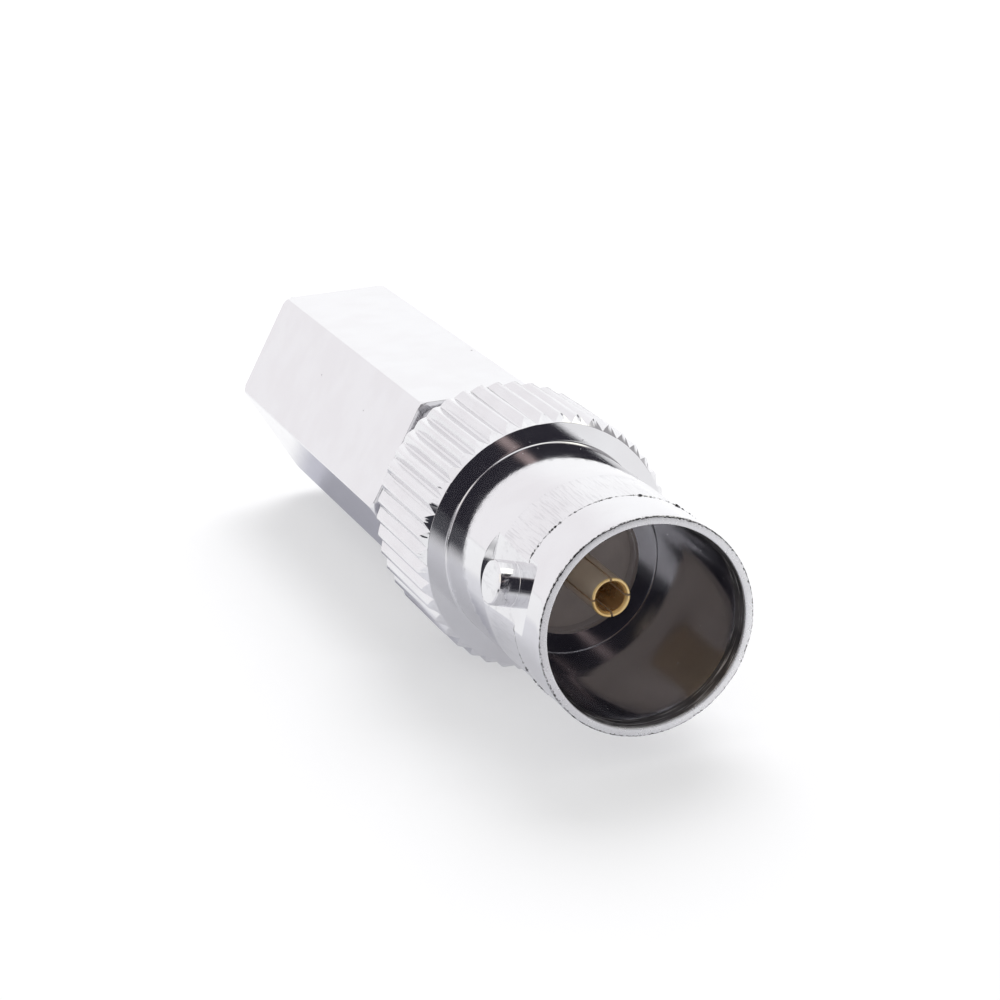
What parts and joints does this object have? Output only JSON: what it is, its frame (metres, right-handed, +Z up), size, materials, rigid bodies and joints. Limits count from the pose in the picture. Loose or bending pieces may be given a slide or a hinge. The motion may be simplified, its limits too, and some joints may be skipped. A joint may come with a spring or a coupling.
{
  "type": "bnc female connector",
  "caption": "Female bayonet coaxial connector: plated barrel with two lugs, gold slotted contact, knurled ring and long hexagonal cable sleeve.",
  "frame": {"origin": "centre of the mouth's rim plane, on the connector's axis", "axes": "+Y along the axis from the mouth towards the cable, +Z up, square to the sleeve's upper flat, as the part lies"},
  "size_m": [0.0122, 0.0424, 0.0122],
  "materials": {
    "nickel_plate": "bright nickel plate on brass",
    "gold_plate": "gold flash on brass",
    "insulator": "white fluoroplastic",
    "bare_brass": "turned brass",
    "black_rubber": "moulded rubber"
  },
  "bodies": {
    "root": {"shell": "nickel_plate", "hex_sleeve": "nickel_plate", "centre_contact": "gold_plate", "front_insulator": "insulator", "rear_insulator": "insulator", "retaining_ring": "bare_brass", "braid_clamp": "bare_brass", "cable_gasket": "black_rubber", "thrust_washer": "bare_brass"}
  },
  "joints": []
}
